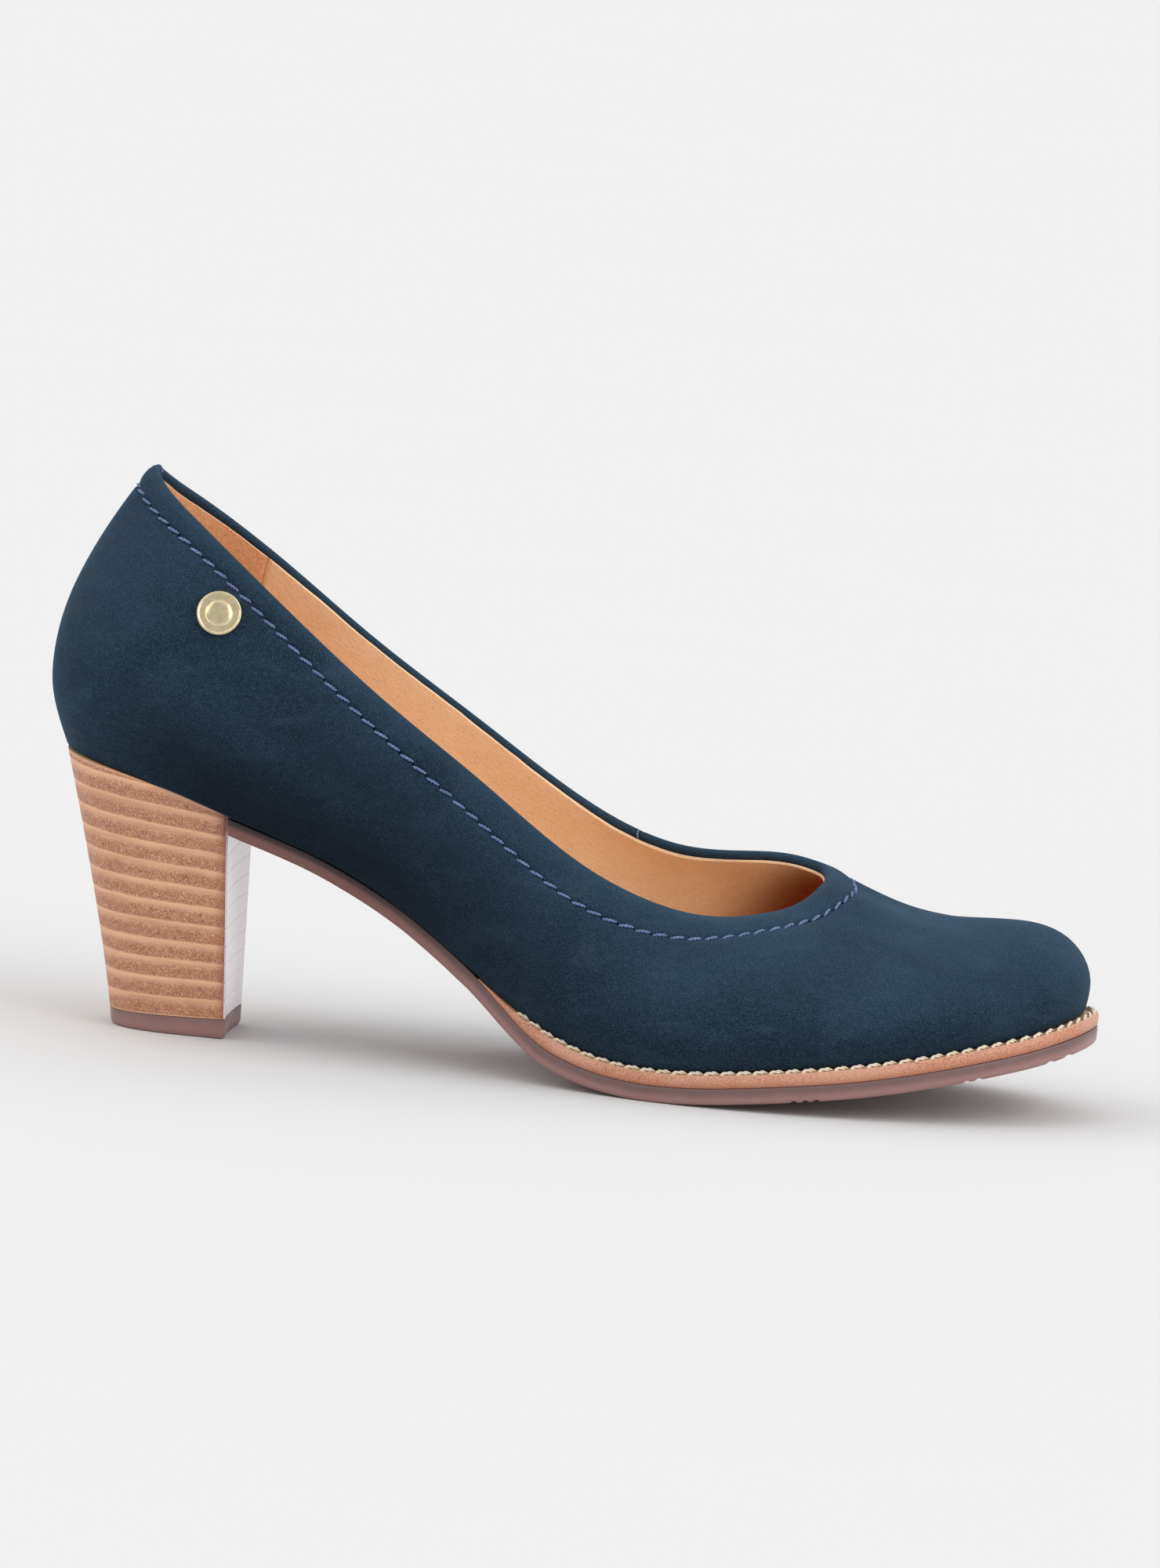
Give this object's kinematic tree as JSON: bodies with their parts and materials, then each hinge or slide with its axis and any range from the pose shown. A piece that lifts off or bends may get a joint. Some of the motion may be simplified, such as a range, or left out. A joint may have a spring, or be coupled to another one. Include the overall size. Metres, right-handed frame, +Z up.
{
  "type": "high heel pump",
  "caption": "Low-cut slip-on shoe for the right foot with a round toe, a turned-in suede upper, a stitched welt and a stacked block heel.",
  "frame": {"origin": "on the ground, under the middle of the shoe's bounding box", "axes": "+X towards the toe, +Y towards the inner side of the foot, +Z up; the shoe stands on its heel top piece and on the ball of the sole"},
  "size_m": [0.2476, 0.0856, 0.1299],
  "materials": {
    "navy_nubuck": "napped nubuck, deep navy blue",
    "tan_leather": "smooth lining leather, satin",
    "welt_leather": "burnished veg-tan edge",
    "heel_leather": "stacked sole leather, sanded and waxed",
    "brown_rubber": "slightly translucent, satin",
    "blue_thread": "twisted polyester thread",
    "cream_thread": "waxed twisted thread",
    "gold": "polished pale gold plating",
    "steel": "plain steel",
    "board": "pressed cellulose board and cork",
    "stiffener": "impregnated non-woven",
    "foam": "open-cell latex foam"
  },
  "bodies": {
    "root": {"vamp_and_outer_quarter": "navy_nubuck", "inner_quarter": "navy_nubuck", "topline_thread": "blue_thread", "topline_tape": "stiffener", "front_lining": "tan_leather", "heel_grip_lining": "tan_leather", "heel_counter": "stiffener", "toe_puff": "stiffener", "outer_interlining": "stiffener", "inner_interlining": "stiffener", "badge_cap": "gold", "badge_washer": "steel", "sock_lining": "tan_leather", "foam_cushion": "foam", "insole_board": "board", "shank_board": "board", "steel_shank": "steel", "cork_filler": "board", "welt": "welt_leather", "welt_thread": "cream_thread", "outsole": "brown_rubber", "heel_top_piece": "brown_rubber", "heel_screw": "steel", "heel_lift_01": "heel_leather", "heel_lift_02": "heel_leather", "heel_lift_03": "heel_leather", "heel_lift_04": "heel_leather", "heel_lift_05": "heel_leather", "heel_lift_06": "heel_leather", "heel_lift_07": "heel_leather", "heel_lift_08": "heel_leather", "heel_lift_09": "heel_leather", "heel_lift_10": "heel_leather", "heel_lift_11": "heel_leather", "heel_lift_12": "heel_leather", "heel_lift_13": "heel_leather", "heel_nail_1": "steel", "heel_nail_2": "steel", "heel_nail_3": "steel", "heel_nail_4": "steel"}
  },
  "joints": []
}
